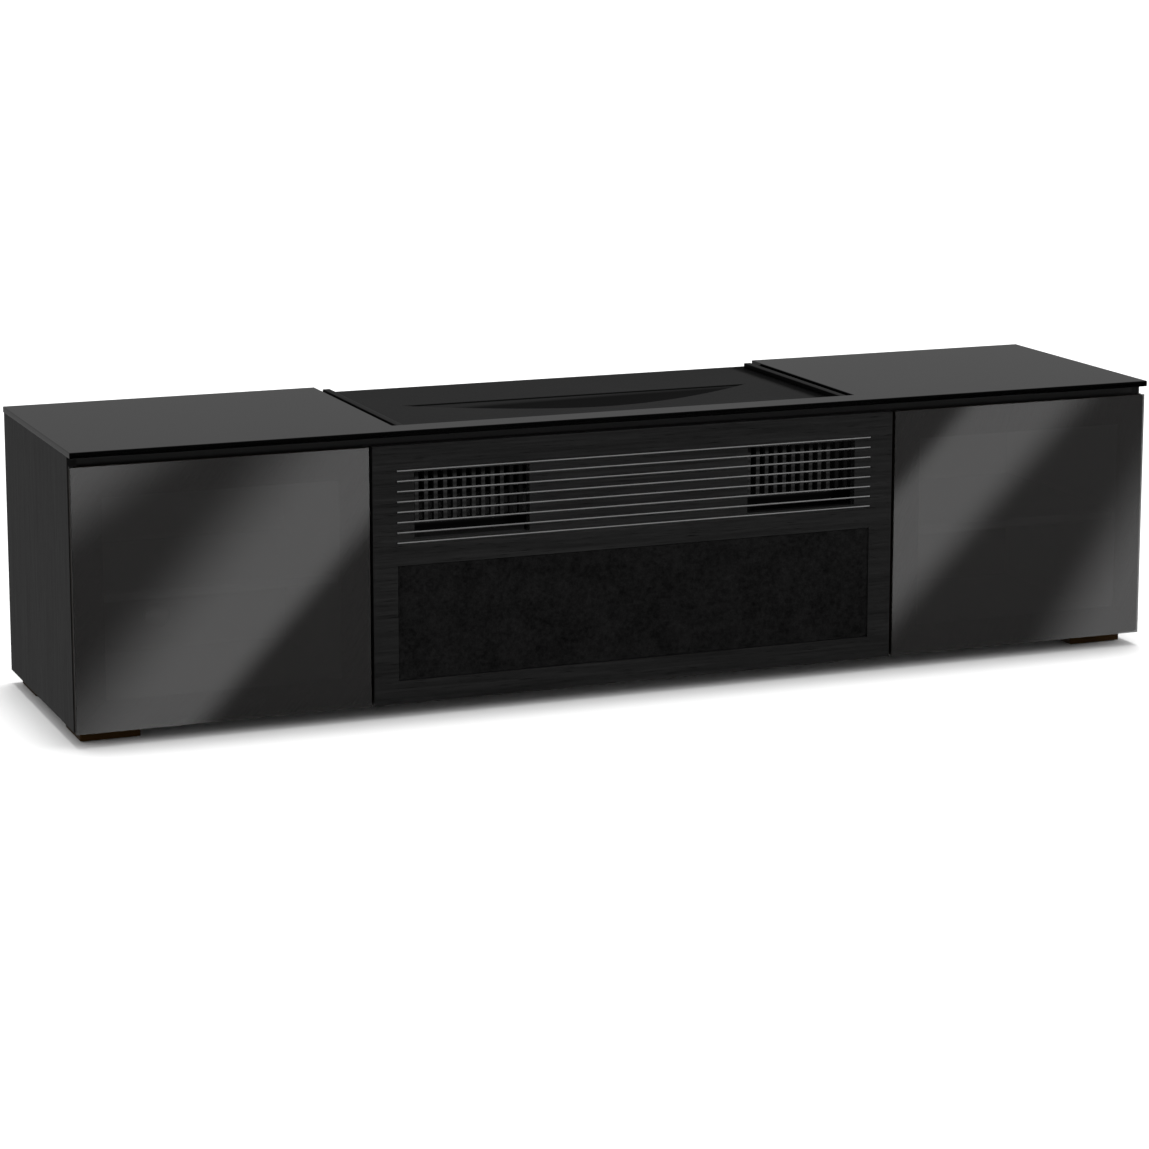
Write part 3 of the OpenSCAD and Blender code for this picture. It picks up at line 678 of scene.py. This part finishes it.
def emission(name, strength, attribute):
    """A light whose pattern is the mesh attribute of that name."""
    material = bpy.data.materials.new(name)
    material.use_nodes = True
    tree = material.node_tree
    tree.nodes.clear()
    out = tree.nodes.new("ShaderNodeOutputMaterial")
    glow = tree.nodes.new("ShaderNodeEmission")
    glow.inputs["Strength"].default_value = strength
    read = tree.nodes.new("ShaderNodeAttribute")
    read.attribute_name = attribute
    tree.links.new(read.outputs["Color"], glow.inputs["Color"])
    tree.links.new(glow.outputs["Emission"], out.inputs["Surface"])
    return material


def make_floor():
    half = 200.0
    corners = [(-half, -half, 0), (half, -half, 0), (half, half, 0), (-half, half, 0)]
    mesh = bpy.data.meshes.new("floor")
    mesh.from_pydata(corners, [], [(0, 1, 2, 3)])
    s = Shader("floor_paint", Specular_IOR_Level=0.0, Roughness=1.0)
    cloud = s.noise(s.place((0.4, 0.4, 0.4)), detail=2)
    s.colour(s.mix(cloud, grey(0.69), grey(0.71)))
    mesh.materials.append(s.material)
    floor = bpy.data.objects.new("floor", mesh)
    scene.collection.objects.link(floor)
    floor.visible_glossy = False


def smooth(edge, width, value):
    """0 below edge, 1 above it, with a soft step of that width."""
    t = min(1.0, max(0.0, (value - edge) / width + 0.5))
    return t * t * (3 - 2 * t)


# Each band lies between two slanting edges. Along an edge, u plus a slope times v is the same.


def band_left(u, v):
    """Brightness of the light seen in the left door at u across and v down, 0 to 1."""
    corner = 1 - smooth(0.25, 0.42, u + 1.25 * v)
    band = smooth(0.73, 0.42, u + 0.75 * v) * (1 - smooth(1.232, 0.16, u + 0.82 * v))
    return min(1.0, corner + band)


def band_right(u, v):
    """The same for the right door."""
    band = smooth(0.285, 0.14, u + 0.85 * v) * (1 - smooth(0.735, 0.24, u + 0.87 * v))
    corner = smooth(1.212, 0.35, u + 0.54 * v)
    return min(1.0, corner + band)


def lit_only(*names):
    """A collection of CAD nodes or new pieces that a light is kept to."""
    made = bpy.data.collections.new("lit_" + names[0])
    for name in names:
        made.objects.link(nodes[name] if name in nodes else bpy.data.objects[name])
    return made


CARD_HEIGHT = 0.003     # above the floor
CARD_STEPS = 170        # squares along each side of a card
CARD_MARGIN = 0.06      # of the glass that a card runs past its reflection, as a share
CARD_STRENGTH = 2.62
CARD_BASE = 0.19        # the card's light between its bands, at the top of the glass
CARD_FADE = 0.035       # how much less it is at the bottom


def make_card(side, band):
    """A soft light pattern on the floor in front of a door, seen only in reflections."""
    low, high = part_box("door_glass_" + side)
    shares = [-CARD_MARGIN + (1 + 2 * CARD_MARGIN) * i / CARD_STEPS for i in range(CARD_STEPS + 1)]
    verts, values = [], []
    for v in shares:
        for u in shares:
            x = low.x + u * (high.x - low.x)
            z = max(0.004, high.z - v * (high.z - low.z))
            t = (z - CARD_HEIGHT) / (CAMERA_PLACE.z - z)
            verts.append((x + t * (x - CAMERA_PLACE.x), low.y - t * (low.y - CAMERA_PLACE.y),
                          CARD_HEIGHT))
            base = CARD_BASE - CARD_FADE * v
            values.append(base + (1 - base) * band(u, v))
    mesh = bpy.data.meshes.new("reflection_card_" + side)
    mesh.from_pydata(verts, [], grid_faces(CARD_STEPS, CARD_STEPS))
    paint = mesh.attributes.new("band", "FLOAT_COLOR", "POINT")
    paint.data.foreach_set("color", [c for b in values for c in (b, b, b, 1.0)])
    mesh.materials.append(emission("reflection_card_" + side, CARD_STRENGTH, "band"))
    card = bpy.data.objects.new("reflection_card_" + side, mesh)
    scene.collection.objects.link(card)
    card.visible_camera = False
    card.visible_diffuse = False
    card.visible_transmission = False
    card.visible_shadow = False
    card.visible_volume_scatter = False
    card.light_linking.receiver_collection = lit_only("door_glass_" + side)


def key_light(azimuth, elevation, strength, spread, receivers=None):
    """A wide soft sun. Azimuth is from straight in front towards the right, in degrees."""
    data = bpy.data.lights.new("key", "SUN")
    data.energy = strength
    data.angle = math.radians(spread)
    light = bpy.data.objects.new("key", data)
    a, e = math.radians(azimuth), math.radians(elevation)
    away = Vector((math.sin(a) * math.cos(e), -math.cos(a) * math.cos(e), math.sin(e)))
    light.rotation_euler = away.to_track_quat("Z", "Y").to_euler()
    if receivers:
        light.light_linking.receiver_collection = receivers
    scene.collection.objects.link(light)


FROM_THE_RIGHT = {"azimuth": 68, "elevation": 17}

WORLD_SEEN = 1.0        # what the camera sees behind the floor
WORLD_FILL = 1.0        # what lights the matt faces
MIRRORED_SKY = 0.2      # what polished faces mirror above the horizon,
MIRRORED_BACK = 0.22    # below it behind the cabinet,
MIRRORED_FRONT = 0.012  # and below it in front


def make_world():
    world = bpy.data.worlds.new("studio")
    scene.world = world
    world.use_nodes = True
    tree = world.node_tree
    background = tree.nodes["Background"]
    background.inputs["Color"].default_value = (1, 1, 1, 1)
    path = tree.nodes.new("ShaderNodeLightPath")

    def put(socket, value):
        if isinstance(value, bpy.types.NodeSocket):
            tree.links.new(value, socket)
        else:
            socket.default_value = value

    def mixed(factor, no, yes):
        node = tree.nodes.new("ShaderNodeMix")
        for key, value in (("Factor", factor), ("A", no), ("B", yes)):
            put(node.inputs[key], value)
        return node.outputs["Result"]

    split = tree.nodes.new("ShaderNodeSeparateXYZ")
    put(split.inputs["Vector"], tree.nodes.new("ShaderNodeTexCoord").outputs["Generated"])

    def ramp(axis, low, high, below, above):
        node = tree.nodes.new("ShaderNodeMapRange")
        for socket, value in zip(node.inputs, (split.outputs[axis], low, high, 0.0, 1.0)):
            put(socket, value)
        return mixed(node.outputs["Result"], below, above)

    below_horizon = ramp("Y", -0.05, 0.3, MIRRORED_FRONT, MIRRORED_BACK)
    mirrored = ramp("Z", -0.03, 0.03, below_horizon, MIRRORED_SKY)
    fill = mixed(path.outputs["Is Glossy Ray"], WORLD_FILL, mirrored)
    put(background.inputs["Strength"], mixed(path.outputs["Is Camera Ray"], fill, WORLD_SEEN))


make_camera()
finish_nodes()
ease_edges()
make_cloth()
make_scoop()
make_brushes()
make_floor()
make_card("left", band_left)
make_card("right", band_right)
key_light(**FROM_THE_RIGHT, strength=0.8, spread=14)
key_light(**FROM_THE_RIGHT, strength=26, spread=9,      # lifts the deck and the grilles
          receivers=lit_only("deck_panel", "deck_rail_left", "deck_rail_right", "lens_well_scoop",
                             "vent_grille_left", "vent_grille_right"))
key_light(azimuth=148, elevation=85.2, strength=2.8, spread=16,  # gives the floor's short shadow
          receivers=lit_only("floor"))
make_world()
scene.view_settings.view_transform = "Standard"

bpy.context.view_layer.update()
